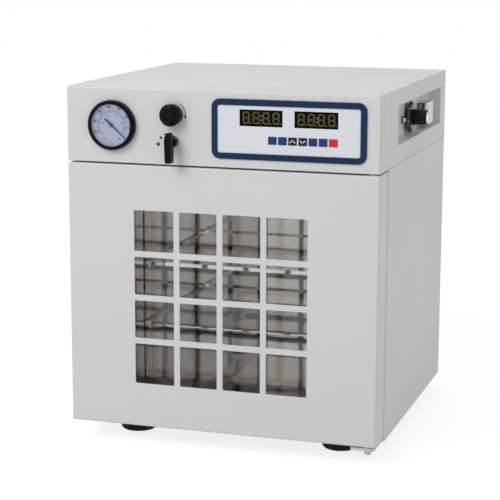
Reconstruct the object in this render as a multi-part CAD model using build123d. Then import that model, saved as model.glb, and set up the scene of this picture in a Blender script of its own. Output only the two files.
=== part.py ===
from build123d import *
import os

# A bench vacuum oven: a square steel cabinet, a full-width glazed door hung on the right,
# a control head over it with the vacuum controls, and a recess for two more controls in
# the head's right side. Sizes are in millimetres. While it is modelled, X runs along the
# width from the cabinet's middle, Y back from the front of the door, and Z up from the
# floor. The last lines move every piece to the centre of the whole outline.

# Cabinet
cabinet_width = 530.0
cabinet_depth = 525.0
cabinet_height = 604.0
sheet = 1.5
bend = 3.0
body_bottom = 27.0
base_bottom = 31.5
flange = 15.0
head_height = 123.5
seam = 0.6
return_depth = 70.0
top_strip = 18.0

# Door
door_bottom = 34.0
door_depth = 57.0
door_gap = 5.0
head_gap = 3.0
window_width = 297.0
window_height = 294.0
window_centre_z = 255.7
bar = 10.0
edge_cell_extra = 4.5
cell_corner = 2.5
glass_size = 346.0
glass_thickness = 15.0
glass_front = 44.0
shroud_margin = 1.5
shroud_sheet = 1.2
glass_clearance = 0.3
frame_rim = 16.0
frame_lip = 2.5
frame_sheet = 1.2
frame_overlap = 6.0

# Finger recess and catch magnets
finger_y = 24.0
finger_z = 256.0
finger_width = 24.0
finger_height = 90.0
finger_depth = 15.0
cup_wall = 1.5
cup_rim = 4.0
magnet_width = 22.0
magnet_height = 40.0
magnet_spread = 210.0
magnet_clearance = 0.3

# Hinges
hinge_x = 249.0
hinge_y = 15.0
pin_radius = 4.0
running = 0.05
bush_radius = 7.0
bush_length = 20.0
bush_flange_radius = 9.0
upper_bush_flange = 1.0
thrust_clearance = 0.3
hinge_plate = 5.0
hinge_plate_width = 40.0
hinge_plate_front = 5.0
hinge_plate_back = 110.0
pin_head_radius = 5.5
pin_head = 8.0
upper_plate = 4.0
upper_plate_back = 80.0

# Chamber
chamber_width = 306.0
chamber_height = 306.0
chamber_depth = 320.0
chamber_floor = 94.0
chamber_wall = 3.0
flange_width = 25.0
flange_thickness = 10.0
gasket_width = 12.0
gasket_offset = 4.0
groove_depth = 3.0
gasket_clearance = 0.2
gasket_nose = 3.0
rib_width = 12.0
rib_height = 25.0
rib_count = 3
heater_thickness = 2.0
heater_margin = 12.0
insulation_thickness = 41.0
probe_radius = 3.0
probe_reach = 60.0
probe_head_radius = 8.0
probe_head = 14.0

# Shelves
first_shelf = 105.0
shelf_pitch = 104.0
shelf_sheet = 1.5
shelf_lip = 12.0
shelf_side_gap = 9.0
shelf_front_gap = 12.0
shelf_back_gap = 14.0
rack_post = 6.0
rack_inset = 40.0
rail_reach = 12.0
rack_gap = 0.5

# Vacuum gauge
gauge_x = -184.0
gauge_z = 542.0
bezel_radius = 41.0
bezel_height = 11.0
dial_radius = 36.0
gauge_lip = 1.5
gauge_body_radius = 33.0
gauge_body_depth = 28.0
gauge_wall = 2.5
dial_plate = 1.0
dial_seat = 3.0
lens_thickness = 1.5
needle_length = 30.0
needle_tail = 15.0
needle_width = 1.6
tail_width = 3.4
needle_thickness = 0.8
needle_rest = -42.0
arbor_radius = 1.25
arbor_reach = 6.0
needle_hub = 0.6
movement_radius = 12.0
movement_front = 1.0
gauge_stem_radius = 7.0
gauge_stem_length = 18.0
coil_radius = 22.0
coil_tube_radius = 2.5

# Vent knob and vacuum lever
vent_x = -79.0
vent_z = 562.5
vacuum_x = -78.0
vacuum_z = 519.0
knob_radius = 18.0
knob_height = 22.0
knob_lift = 3.0
knob_dome = 7.0
knob_dish = 1.4
stem_radius = 3.0
stem_reach = 14.0
valve_radius = 12.0
valve_depth = 42.0
bushing_radius = 5.0
nut_flats = 14.0
nut_thickness = 2.5
hub_radius = 10.0
lever_back = 15.0
lever_front = 30.0
lever_width = 16.4
lever_tip = 16.7
lever_tail = 33.0
lever_tail_width = 13.3
lever_point_width = 4.0

# Display panel
display_x = 115.3
display_z = 543.0
display_width = 255.7
display_height = 96.7
display_border = 10.0
display_corner = 14.0
face_corner = 4.0
display_proud = 3.0
face_proud = 1.6
face_overlap = 5.0
lens_width = 71.4
lens_height = 26.5
lens_spread = 91.0
lens_x = 115.7
lens_z = 561.8
module_width = 67.0
module_height = 23.0
module_front = 1.6
key_count = 7
key_width = 13.6
key_height = 12.0
key_pitch = 16.65
first_key_x = 89.3
key_z = 526.8
key_proud = 1.1
key_clearance = 0.3
key_travel = 0.6
key_stem_radius = 2.0
key_stem_end = 7.6
push_switch = 6.0
push_switch_height = 4.0
plunger_radius = 1.7
screw_radius = 1.6
board_y = 14.0
board_thickness = 1.6
board_margin = 4.0
standoff_radius = 3.0

# Side recess
recess_front = 125.0
recess_length = 355.0
recess_bottom = 511.0
recess_height = 65.0
recess_depth = 20.0
recess_rim = 8.0
limit_y = 284.0
limit_z = 541.0
skirt_radius = 28.0
skirt_thickness = 6.0
skirt_lift = 5.0
limit_knob_radius = 13.7
limit_knob_taper = 2.5
limit_knob_length = 25.0
flute_count = 18
flute_radius = 1.2
limit_body_radius = 22.0
limit_body_depth = 34.0
limit_collar_radius = 7.0
limit_arm = 12.0
limit_arm_width = 18.0
switch_y = 400.0
switch_z = 536.0
bezel_length = 60.0
bezel_width = 34.0
bezel_proud = 3.0
rocker_length = 50.0
rocker_width = 24.0
rocker_gap = 0.5
rocker_tilt = 10.0
switch_body_depth = 30.0
switch_inset = 3.0
rocker_room = 14.0
rocker_thickness = 13.0
rocker_dip = 3.5
rocker_pivot = -2.0
trunnion_radius = 1.5
trunnion_reach = 1.5
cover_length = 68.0
cover_width = 42.0
cover_height = 16.0
cover_wall = 1.5
reset_y = 243.0
reset_z = 540.0
reset_radius = 4.0
reset_proud = 7.0
reset_travel = 2.0
reset_collar = 7.0
reset_collar_height = 2.0

# Feet
foot_radius = 31.0
foot_top_radius = 28.0
foot_edge = 3.0
foot_x = 182.0
foot_front_y = 100.0
foot_back_inset = 75.0
stud_radius = 4.0
stud_length = 14.0

# Back of the cabinet
port_x = vacuum_x
port_z = vacuum_z
port_radius = 5.0
port_reach = 25.0
port_flange_radius = 14.0
port_flange = 4.0
port_neck = 2.0
port_bead = 0.9
inlet_x = 150.0
inlet_z = 530.0
inlet_width = 48.0
inlet_height = 30.0
inlet_depth = 26.0
inlet_flange = 3.0
inlet_body = (38.0, 22.0)
inlet_socket = (32.0, 16.0)
blade_places = ((-8.0, 1.5), (8.0, 1.5), (0.0, -2.5))
blade_width = 2.0
blade_height = 4.0
head_vents_x = (-170.0, 40.0)
body_vents_x = (-150.0, 150.0)
vent_slot_length = 60.0
vent_slot_height = 5.0
vent_slot_pitch = 12.0
vent_slot_count = 5

# Inside the head
deck_lip = 12.0
tube_radius = 4.0
tube_bore = 2.8
tube_bend = 16.0
manifold_size = (40.0, 25.0, 48.0)
manifold_x = -130.0
manifold_y = 180.0
line_y = 470.0
line_z = 340.0
sink_size = (90.0, 80.0, 36.0)
sink_x = 65.0
sink_y = 390.0
fin_count = 9
fin_gap = 5.0
fin_root = 8.0
relay_size = (44.0, 58.0, 22.0)

# Places worked out from the sizes above
half = cabinet_width / 2
inner_half = half - sheet
head_bottom = cabinet_height - head_height
door_top = head_bottom - head_gap
frame_y = door_depth + door_gap
panel_y = frame_y + sheet
mouth_y = panel_y + sheet
back_y = cabinet_depth - 2 * sheet
deck_top = head_bottom + sheet
pan_top = base_bottom + sheet
chamber_back = mouth_y + chamber_depth
chamber_mid_z = chamber_floor + chamber_height / 2
glass_back = glass_front + glass_thickness
recess_x = half - recess_depth
recess_y = (recess_front, recess_front + recess_length)
recess_z = (recess_bottom, recess_bottom + recess_height)
window_x = (-window_width / 2, window_width / 2)
window_z = (window_centre_z - window_height / 2, window_centre_z + window_height / 2)
reach_right = skirt_lift + skirt_thickness + limit_knob_length - recess_depth
reach_front = lever_front
centre_y = (cabinet_depth + port_reach - reach_front) / 2


def block(x, y, z):
    """A block given by its low and high place along each axis."""
    size = [high - low for low, high in (x, y, z)]
    middle = [(low + high) / 2 for low, high in (x, y, z)]
    return Pos(*middle) * Box(*size)


def group(solids):
    """Several separate solids kept as one piece."""
    return Compound(solids)


def around(middle, size):
    """The low and high place of something centred on a point."""
    return (middle - size / 2, middle + size / 2)


def rod(at, along, radius, length):
    """A round rod that starts at a point and runs in a direction."""
    shape = Cylinder(radius, length, align=(Align.CENTER, Align.CENTER, Align.MIN))
    return Plane(origin=at, z_dir=along).location * shape


def turned(outline, at, along):
    """A lathe-turned piece from points of radius and distance, on an axis from a point."""
    path = Polyline(*[(radius, 0, distance) for radius, distance in outline], close=True)
    return Plane(origin=at, z_dir=along).location * revolve(make_face(path), axis=Axis.Z)


def ring(x, z, y, width):
    """A flat rectangular ring that stands upright, its border inside the given outline."""
    outer = block(x, y, z)
    inner = block((x[0] + width, x[1] - width), y, (z[0] + width, z[1] - width))
    return outer - inner


def rounded_plate(x, y, z, corner):
    """An upright plate with round corners, its thickness along Y."""
    plate = block(x, y, z)
    return fillet(plate.edges().filter_by(Axis.Y), corner)


def tray(x, y, z, wall, lip):
    """A pan of sheet with a floor at the bottom and a lip turned up all round."""
    outer = block(x, y, (z, z + lip))
    outer = fillet(outer.edges().group_by(Axis.Z)[0], bend)
    inner_x = (x[0] + wall, x[1] - wall)
    inner_y = (y[0] + wall, y[1] - wall)
    inner = block(inner_x, inner_y, (z + wall, z + lip))
    return outer - fillet(inner.edges().group_by(Axis.Z)[0], bend - wall)


def front_edges(shape):
    """The outer edges where a folded sheet turns back from its front face."""
    return shape.edges().group_by(Axis.Y)[0]


def base_pan():
    pan = tray((-inner_half, inner_half), (mouth_y, back_y), base_bottom, sheet, flange)
    for x, y in foot_places():
        pan -= rod((x, y, base_bottom - sheet), (0, 0, 1), stud_radius + glass_clearance, 3 * sheet)
    for row in range(vent_slot_count):
        y = cabinet_depth / 2 + (row - (vent_slot_count - 1) / 2) * vent_slot_pitch
        slot = SlotOverall(vent_slot_length, vent_slot_height)
        pan -= Pos(0, y, base_bottom - sheet) * extrude(slot, 3 * sheet)
    return pan


def side_panel(hand):
    """One lower side, with its front and back edges folded inwards."""
    z = (body_bottom, head_bottom - seam)
    wall = block((inner_half, half), (frame_y, cabinet_depth), z)
    front = block((half - flange, half), (frame_y, panel_y), (base_bottom, z[1]))
    back = block((half - flange, half), (cabinet_depth - sheet, cabinet_depth), z)
    panel = wall + front + back
    corners = panel.edges().filter_by(Axis.Z).group_by(Axis.X)[-1]
    panel = fillet(corners, sheet)
    return panel if hand > 0 else mirror(panel, Plane.YZ)


def vent_slots(x, z):
    """A block of level slots, one above the other."""
    slot = extrude(SlotOverall(vent_slot_length, vent_slot_height), 4 * sheet)
    rows = range(vent_slot_count)
    places = [z + (row - (vent_slot_count - 1) / 2) * vent_slot_pitch for row in rows]
    turn = Rot(90, 0, 0)
    return [Pos(x, back_y + 3 * sheet, place) * turn * slot for place in places]


def rear_panel():
    panel = block((-inner_half, inner_half), (back_y, back_y + sheet), (base_bottom, cabinet_height - sheet))
    for x in head_vents_x:
        panel -= vent_slots(x, head_bottom + head_height / 2)
    for x in body_vents_x:
        panel -= vent_slots(x, base_bottom + 2 * vent_slot_length)
    panel -= rod((port_x, back_y - sheet, port_z), (0, 1, 0), port_radius + port_neck, 4 * sheet)
    panel -= block(around(inlet_x, inlet_body[0]), (back_y - sheet, back_y + 3 * sheet),
                   around(inlet_z, inlet_body[1]))
    return panel


def front_frame():
    """The plate round the chamber's mouth, which the door closes on."""
    plate = block((-inner_half, inner_half), (panel_y, mouth_y), (base_bottom, head_bottom))
    reach = chamber_width / 2 + flange_width - frame_overlap
    return plate - block((-reach, reach), (frame_y, mouth_y + sheet), around(chamber_mid_z, 2 * reach))


def control_fascia():
    """The head's front: one folded sheet with its top and sides turned back."""
    z = (head_bottom, cabinet_height)
    shell = block((-half, half), (0, return_depth), z)
    shell = fillet(front_edges(shell).filter_by(Axis.Z), bend)
    top_edges = shell.edges().group_by(Axis.Z)[-1].filter_by(GeomType.LINE).filter_by(Axis.X)
    shell = fillet(top_edges.group_by(Axis.Y)[0], bend)
    shell -= block((-inner_half, inner_half), (sheet, return_depth), (head_bottom, cabinet_height - sheet))
    shell -= rod((gauge_x, -sheet, gauge_z), (0, 1, 0), gauge_body_radius + glass_clearance, 3 * sheet)
    for x, z in ((vent_x, vent_z), (vacuum_x, vacuum_z)):
        shell -= rod((x, -sheet, z), (0, 1, 0), bushing_radius, 3 * sheet)
    inset = display_border + face_overlap
    shell -= block(around(display_x, display_width - 2 * inset), (-sheet, 2 * sheet),
                   around(display_z, display_height - 2 * inset))
    return shell


def head_side(hand):
    """One side of the head, its top edge folded in to carry the top panel."""
    y = (return_depth + seam, cabinet_depth)
    wall = block((inner_half, half), y, (head_bottom, cabinet_height))
    top = block((half - top_strip, half), y, (cabinet_height - sheet, cabinet_height))
    back = block((half - flange, half), (cabinet_depth - sheet, cabinet_depth), (head_bottom, cabinet_height))
    panel = wall + top + back
    if hand > 0:
        panel -= block((inner_half - sheet, half + sheet), recess_y, recess_z)
        return panel
    return mirror(panel, Plane.YZ)


def top_panel():
    reach = half - top_strip - seam
    plate = block((-reach, reach), (return_depth + seam, cabinet_depth), (cabinet_height - sheet, cabinet_height))
    back = block((-reach, reach), (cabinet_depth - sheet, cabinet_depth), (cabinet_height - flange, cabinet_height))
    return plate + back


def head_deck():
    """The tray that closes the oven's top and carries what is inside the head."""
    deck = tray((-inner_half, inner_half), (sheet, back_y), head_bottom, sheet, deck_lip)
    deck -= rod((hinge_x, hinge_y, head_bottom - sheet), (0, 0, 1), pin_radius + glass_clearance, 3 * sheet)
    deck -= rod((manifold_x, line_y, head_bottom - sheet), (0, 0, 1), tube_radius + 2, 3 * sheet)
    return deck


def side_pocket():
    """The recess in the head's right side, an open tray behind the side sheet."""
    rim_y = (recess_y[0] - recess_rim, recess_y[1] + recess_rim)
    rim_z = (recess_z[0] - recess_rim, recess_z[1] + recess_rim)
    outer_y = (recess_y[0] - sheet, recess_y[1] + sheet)
    outer_z = (recess_z[0] - sheet, recess_z[1] + sheet)
    pocket = block((inner_half - sheet, inner_half), rim_y, rim_z)
    pocket += block((recess_x - sheet, inner_half), outer_y, outer_z)
    pocket -= block((recess_x, half), recess_y, recess_z)
    pocket -= rod((recess_x - 2 * sheet, limit_y, limit_z), (1, 0, 0), limit_collar_radius, 3 * sheet)
    pocket -= rod((recess_x - 2 * sheet, reset_y, reset_z), (1, 0, 0), reset_radius + 1, 3 * sheet)
    pocket -= block((recess_x - 2 * sheet, recess_x + sheet), around(switch_y, bezel_length - 2 * switch_inset),
                    around(switch_z, bezel_width - 2 * switch_inset))
    return pocket


def chamber():
    """The welded pressure box, open at the front, with a thick flange for the gasket."""
    x = around(0, chamber_width)
    z = around(chamber_mid_z, chamber_height)
    outer_x = around(0, chamber_width + 2 * chamber_wall)
    outer_z = around(chamber_mid_z, chamber_height + 2 * chamber_wall)
    box = block(outer_x, (mouth_y, chamber_back + chamber_wall), outer_z)
    rim = chamber_width + 2 * flange_width
    box += block(around(0, rim), (mouth_y, mouth_y + flange_thickness), around(chamber_mid_z, rim))
    box -= block(x, (mouth_y, chamber_back), z)
    groove = chamber_width + 2 * (gasket_offset + gasket_width)
    box -= ring(around(0, groove), around(chamber_mid_z, groove), (mouth_y, mouth_y + groove_depth),
                gasket_width)
    wall_y = chamber_back - chamber_wall
    box -= rod((manifold_x, wall_y, line_z), (0, 1, 0), tube_bore, 3 * chamber_wall)
    box -= rod((-manifold_x, wall_y, line_z), (0, 1, 0), probe_radius + running, 3 * chamber_wall)
    return box


def temperature_probe():
    """A sheathed sensor through the chamber's back wall, with its gland outside."""
    outline = [(0, 0), (probe_radius, 0), (probe_radius, probe_reach + chamber_wall),
               (probe_head_radius, probe_reach + chamber_wall),
               (probe_head_radius, probe_reach + chamber_wall + probe_head),
               (0, probe_reach + chamber_wall + probe_head)]
    return turned(outline, (-manifold_x, chamber_back - probe_reach, line_z), (0, 1, 0))


def rib_places():
    span = chamber_depth - flange_thickness
    return [mouth_y + flange_thickness + span * (index + 1) / (rib_count + 1) for index in range(rib_count)]


def chamber_ribs():
    """Flat bars on edge that stiffen the chamber's walls against the vacuum."""
    low = chamber_width / 2 + chamber_wall
    high = low + rib_height
    bars = []
    for y in rib_places():
        span = around(y, rib_width)
        for sign in (-1, 1):
            x = sorted((sign * low, sign * high))
            bars.append(block(x, span, around(chamber_mid_z, 2 * low)))
            z = sorted((chamber_mid_z + sign * low, chamber_mid_z + sign * high))
            bars.append(block(around(0, 2 * high), span, z))
    return group(bars)


def heater_pads():
    """Flat heaters stuck on the four long walls, between the ribs."""
    low = chamber_width / 2 + chamber_wall
    high = low + heater_thickness
    reach = low - heater_margin
    pads = []
    places = rib_places()
    for first, second in zip(places, places[1:]):
        span = (first + rib_width / 2 + heater_margin, second - rib_width / 2 - heater_margin)
        for sign in (-1, 1):
            x = sorted((sign * low, sign * high))
            pads.append(block(x, span, around(chamber_mid_z, 2 * reach)))
            z = sorted((chamber_mid_z + sign * low, chamber_mid_z + sign * high))
            pads.append(block(around(0, 2 * reach), span, z))
    return group(pads)


def chamber_gasket():
    """The square silicone ring in the flange's groove, with a soft rounded nose."""
    size = chamber_width + 2 * (gasket_offset + gasket_width)
    y = (glass_back + gasket_clearance, mouth_y + groove_depth)
    seal = ring(around(0, size), around(chamber_mid_z, size), y, gasket_width)
    return fillet(seal.edges().group_by(Axis.Y)[0], gasket_nose)


def insulation():
    """Five slabs of mineral wool that fill the space between chamber and cabinet."""
    core = chamber_width / 2 + chamber_wall + rib_height
    y = (mouth_y + flange_thickness, chamber_back + chamber_wall + insulation_thickness)
    z_all = (pan_top, head_bottom)
    z_core = around(chamber_mid_z, 2 * core)
    left = block((-inner_half, -core), y, z_all)
    right = block((core, inner_half), y, z_all)
    for sign in (-1, 1):
        lip = sorted((sign * inner_half, sign * (inner_half - bend)))
        cut = block(lip, y, (pan_top, pan_top + flange))
        left -= cut
        right -= cut
    top = block((-core, core), y, (z_core[1], head_bottom))
    bottom = block((-core, core), y, (pan_top, z_core[0]))
    for x, foot_y in foot_places():
        stud_room = rod((x, foot_y, pan_top), (0, 0, 1), 3 * stud_radius, 2 * stud_length)
        bottom -= stud_room
        left -= stud_room
        right -= stud_room
    back = block((-core, core), (chamber_back + chamber_wall, y[1]), z_core)
    back -= rod((manifold_x, chamber_back, line_z), (0, 1, 0), tube_radius + 1, 2 * insulation_thickness)
    back -= rod((-manifold_x, chamber_back, line_z), (0, 1, 0), probe_head_radius + 1, 2 * insulation_thickness)
    return group([left, right, top, bottom, back])


def shelf_heights():
    return [chamber_floor + first_shelf + index * shelf_pitch for index in range(2)]


def shelf_racks():
    """Two hanging side frames: upright posts with angle rails that the shelves slide on."""
    outer = chamber_width / 2 - rack_gap
    frames = []
    for sign in (-1, 1):
        x = sorted((sign * outer, sign * (outer - rack_post)))
        frame = None
        for y in (mouth_y + rack_inset, chamber_back - rack_inset):
            post = block(x, around(y, 2 * rack_post), (chamber_floor, chamber_floor + chamber_height - 10))
            frame = post if frame is None else frame + post
        for height in shelf_heights():
            rail_x = sorted((sign * outer, sign * (outer - rail_reach)))
            rail_y = (mouth_y + rack_inset - rail_reach, chamber_back - rack_inset + rail_reach)
            top = height - shelf_sheet
            frame += block(rail_x, rail_y, (top - shelf_sheet, top))
            frame += block(x, rail_y, (top - rail_reach, top))
        frames.append(frame)
    return group(frames)


def shelf(height):
    """One polished shelf: a plate with its front and back edges folded down."""
    x = around(0, chamber_width - 2 * shelf_side_gap)
    y = (mouth_y + shelf_front_gap, chamber_back - shelf_back_gap)
    plate = block(x, y, (height - shelf_lip, height))
    plate = fillet(plate.edges().group_by(Axis.Z)[-1].filter_by(Axis.X), shelf_sheet)
    hollow_x = (x[0] - 1, x[1] + 1)
    hollow_y = (y[0] + shelf_sheet, y[1] - shelf_sheet)
    return plate - block(hollow_x, hollow_y, (height - shelf_lip - 1, height - shelf_sheet))


def foot_places():
    back = cabinet_depth - foot_back_inset
    return [(x, y) for x in (-foot_x, foot_x) for y in (foot_front_y, back)]


def feet():
    """Four round rubber feet, each moulded on a stud that passes through the base."""
    outline = [(0, 0), (foot_radius - foot_edge, 0), (foot_radius, foot_edge),
               (foot_top_radius, base_bottom), (stud_radius, base_bottom),
               (stud_radius, base_bottom + stud_length), (0, base_bottom + stud_length)]
    return group([turned(outline, (x, y, 0), (0, 0, 1)) for x, y in foot_places()])


def hinge_brackets():
    """The lower hinge plate with its pin, and the upper plate whose pin hangs through the deck."""
    right = around(hinge_x - 8, hinge_plate_width)
    plate = block(right, (hinge_plate_front, hinge_plate_back), (base_bottom - hinge_plate, base_bottom))
    plate = fillet(plate.edges().filter_by(Axis.Z).group_by(Axis.Y)[0], pin_head_radius)
    lower_head = base_bottom - hinge_plate - pin_head
    lower = plate + turned([(0, 0), (pin_head_radius - 1, 0), (pin_head_radius, 1), (pin_head_radius, pin_head),
                            (pin_radius, pin_head), (pin_radius, pin_head + hinge_plate + bush_length),
                            (0, pin_head + hinge_plate + bush_length)],
                           (hinge_x, hinge_y, lower_head), (0, 0, 1))
    upper = block(around(hinge_x, 2 * bush_flange_radius), (2 * sheet + 2, upper_plate_back),
                  (deck_top, deck_top + upper_plate))
    pin_top = deck_top + upper_plate
    upper += rod((hinge_x, hinge_y, pin_top), (0, 0, -1), pin_radius, pin_top - door_top + bush_length - 2)
    return group([lower, upper])


def hinge_bushes():
    """Plain bearing bushes pressed into the door's lower and upper edges."""
    flange_thickness_low = door_bottom - base_bottom - thrust_clearance
    bore = pin_radius + running
    low = [(bore, 0), (bush_flange_radius, 0), (bush_flange_radius, flange_thickness_low),
           (bush_radius, flange_thickness_low), (bush_radius, flange_thickness_low + bush_length),
           (bore, flange_thickness_low + bush_length)]
    high = [(bore, 0), (bush_flange_radius, 0), (bush_flange_radius, upper_bush_flange),
            (bush_radius, upper_bush_flange), (bush_radius, upper_bush_flange + bush_length),
            (bore, upper_bush_flange + bush_length)]
    lower = turned(low, (hinge_x, hinge_y, base_bottom + thrust_clearance), (0, 0, 1))
    upper = turned(high, (hinge_x, hinge_y, door_top + upper_bush_flange), (0, 0, -1))
    return group([lower, upper])


def cell_spans(middle, size):
    """The four openings of the door's grille along one axis, the outer two a little larger."""
    inner = (size - 3 * bar - 2 * edge_cell_extra) / 4
    widths = [inner + edge_cell_extra, inner, inner, inner + edge_cell_extra]
    spans = []
    low = middle - size / 2
    for width in widths:
        spans.append((low, low + width))
        low += width + bar
    return spans


def door_shell():
    """The door's painted front: a deep pan with four rows of four openings punched in it."""
    z = (door_bottom, door_top)
    pan = block((-half, half), (0, door_depth - sheet), z)
    pan = fillet(pan.edges().filter_by(Axis.Y) + front_edges(pan), bend)
    inner_z = (door_bottom + sheet, door_top - sheet)
    inner = block((-inner_half, inner_half), (sheet, door_depth), inner_z)
    pan -= fillet(inner.edges().filter_by(Axis.Y) + front_edges(inner), bend - sheet)
    for x in cell_spans(0, window_width):
        for cell_z in cell_spans(window_centre_z, window_height):
            pan -= rounded_plate(x, (-sheet, 2 * sheet), cell_z, cell_corner)
    for edge in (door_bottom - sheet, door_top - 2 * sheet):
        pan -= rod((hinge_x, hinge_y, edge), (0, 0, 1), bush_radius, 3 * sheet)
    pan -= block((-half - 1, -inner_half + 1), around(finger_y, finger_width), around(finger_z, finger_height))
    return pan


def finger_cup():
    """The moulded recess in the door's free edge that the fingers pull on."""
    y = around(finger_y, finger_width)
    z = around(finger_z, finger_height)
    cup = block((-half, -half + finger_depth), y, z)
    rim_y = around(finger_y, finger_width + 2 * cup_rim)
    cup += block((-inner_half, -inner_half + cup_wall), rim_y, around(finger_z, finger_height + 2 * cup_rim))
    hollow_y = around(finger_y, finger_width - 2 * cup_wall)
    hollow = block((-half, -half + finger_depth - cup_wall), hollow_y,
                   around(finger_z, finger_height - 2 * cup_wall))
    return cup - hollow


def door_liner():
    """The door's inner sheet, turned forward round its edge and round the glass."""
    z = (door_bottom + sheet, door_top - sheet)
    y = (door_depth - sheet, door_depth)
    liner = block((-inner_half, inner_half), y, z)
    liner += ring((-inner_half, inner_half), z, (door_depth - sheet - flange, door_depth), sheet)
    liner = fillet(liner.edges().filter_by(Axis.Y).group_by(SortBy.LENGTH)[-1], bend - sheet)
    hole = glass_size + 2 * glass_clearance
    collar = hole + 2 * sheet
    liner += block(around(0, collar), (glass_front, door_depth), around(chamber_mid_z, collar))
    liner -= block(around(0, hole), (0, door_depth + sheet), around(chamber_mid_z, hole))
    return liner


def window_shroud():
    """The duct that lines the door's depth between the punched front and the glass."""
    x = (window_x[0] - shroud_margin, window_x[1] + shroud_margin)
    z = (window_z[0] - shroud_margin, window_z[1] + shroud_margin)
    wall_x = (x[0] - shroud_sheet, x[1] + shroud_sheet)
    wall_z = (z[0] - shroud_sheet, z[1] + shroud_sheet)
    duct = block(wall_x, (sheet, glass_front), wall_z)
    duct += block(around(0, glass_size), (glass_front - shroud_sheet, glass_front),
                  around(chamber_mid_z, glass_size))
    return duct - block(x, (0, glass_front + 1), z)


def door_glass():
    pane = block(around(0, glass_size), (glass_front, glass_back), around(chamber_mid_z, glass_size))
    return chamfer(pane.edges(), 1)


def glass_frame():
    """The steel frame screwed to the liner, whose lip holds the glass by its rim."""
    outer = glass_size + 2 * frame_rim
    y = (door_depth, glass_back + frame_sheet)
    frame = ring(around(0, outer), around(chamber_mid_z, outer), y, frame_rim + frame_lip)
    pocket = glass_size + 2 * glass_clearance
    return frame - block(around(0, pocket), (door_depth - 1, glass_back), around(chamber_mid_z, pocket))


def catch_magnets():
    """Two magnets on the front plate that hold the steel inside of the door."""
    x = (-half + flange + 1.5, -half + flange + 1.5 + magnet_width)
    y = (door_depth + magnet_clearance, panel_y)
    pieces = []
    for sign in (-1, 1):
        z = around(window_centre_z + sign * magnet_spread / 2, magnet_height)
        pieces.append(fillet(block(x, y, z).edges().group_by(Axis.Y)[0], 1))
    return group(pieces)


def gauge_case():
    """The gauge's black case: a front ring that holds the glass, and a body behind the panel."""
    front = bezel_height
    lens_back = bezel_height - gauge_lip - lens_thickness
    outline = [(dial_radius - gauge_lip, front), (bezel_radius - 2, front), (bezel_radius, front - 3),
               (bezel_radius, 0), (gauge_body_radius, 0), (gauge_body_radius, -gauge_body_depth),
               (gauge_stem_radius, -gauge_body_depth), (gauge_stem_radius, -gauge_body_depth + gauge_wall),
               (gauge_body_radius - gauge_wall, -gauge_body_depth + gauge_wall),
               (gauge_body_radius - gauge_wall, dial_seat), (dial_radius, dial_seat),
               (dial_radius, lens_back + lens_thickness), (dial_radius - gauge_lip, lens_back + lens_thickness)]
    return turned(outline, (gauge_x, 0, gauge_z), (0, -1, 0))


def gauge_dial():
    plate = rod((gauge_x, -dial_seat, gauge_z), (0, -1, 0), dial_radius, dial_plate)
    return plate - rod((gauge_x, 0, gauge_z), (0, -1, 0), 2 * arbor_radius, dial_seat + 2 * dial_plate)


def gauge_glass():
    lens_back = bezel_height - gauge_lip - lens_thickness
    return rod((gauge_x, -lens_back, gauge_z), (0, -1, 0), dial_radius, lens_thickness)


def gauge_movement():
    """The brass socket with the curved pressure tube that turns the needle."""
    depth = gauge_body_depth
    bore = arbor_radius + running
    bore_end = -arbor_reach - 2
    outline = [(bore, movement_front), (movement_radius, movement_front),
               (movement_radius, -depth + gauge_wall), (gauge_stem_radius, -depth + gauge_wall),
               (gauge_stem_radius, -depth - gauge_stem_length), (0, -depth - gauge_stem_length),
               (0, bore_end), (bore, bore_end)]
    movement = turned(outline, (gauge_x, 0, gauge_z), (0, -1, 0))
    path = RadiusArc((1 - movement_radius, 6 - coil_radius), (movement_radius, coil_radius - 4), coil_radius)
    line = Plane(origin=(gauge_x, depth / 2, gauge_z), x_dir=(1, 0, 0), z_dir=(0, -1, 0)) * path
    tube = sweep(Plane(origin=line @ 0, z_dir=line % 0) * Circle(coil_tube_radius), path=line)
    return movement + tube


def gauge_needle():
    """The balanced pointer on its arbor, at rest over the end of the scale."""
    front = dial_seat + dial_plate + 1.2
    pointer = make_face(Polyline((-needle_tail, -tail_width / 2), (-needle_tail, tail_width / 2),
                                 (0, tail_width / 2), (needle_length, needle_width / 4),
                                 (needle_length, -needle_width / 4), (0, -tail_width / 2), close=True))
    turn = Plane(origin=(gauge_x, -front, gauge_z), x_dir=(1, 0, 0), z_dir=(0, -1, 0))
    blade = turn.location * Rot(0, 0, needle_rest) * extrude(pointer, needle_thickness)
    hub = rod((gauge_x, -front, gauge_z), (0, -1, 0), tail_width, needle_thickness + needle_hub)
    arbor = rod((gauge_x, -front, gauge_z), (0, 1, 0), arbor_radius, front + arbor_reach)
    return blade + hub + arbor


def valve_body(x, z):
    """A brass panel valve: body behind the sheet, threaded neck and nut in front."""
    neck = nut_thickness + 0.2
    outline = [(stem_radius + running, neck), (bushing_radius, neck), (bushing_radius, -sheet),
               (valve_radius, -sheet), (valve_radius, -valve_depth + 8), (valve_radius - 4, -valve_depth),
               (0, -valve_depth), (0, -stem_reach - 1), (stem_radius + running, -stem_reach - 1)]
    body = turned(outline, (x, 0, z), (0, -1, 0))
    nut = extrude(RegularPolygon(nut_flats / 2, 6, major_radius=False) - Circle(bushing_radius), nut_thickness)
    return body + Plane(origin=(x, 0, z), z_dir=(0, -1, 0)).location * nut


def valve_bodies():
    return group([valve_body(vent_x, vent_z), valve_body(vacuum_x, vacuum_z)])


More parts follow.
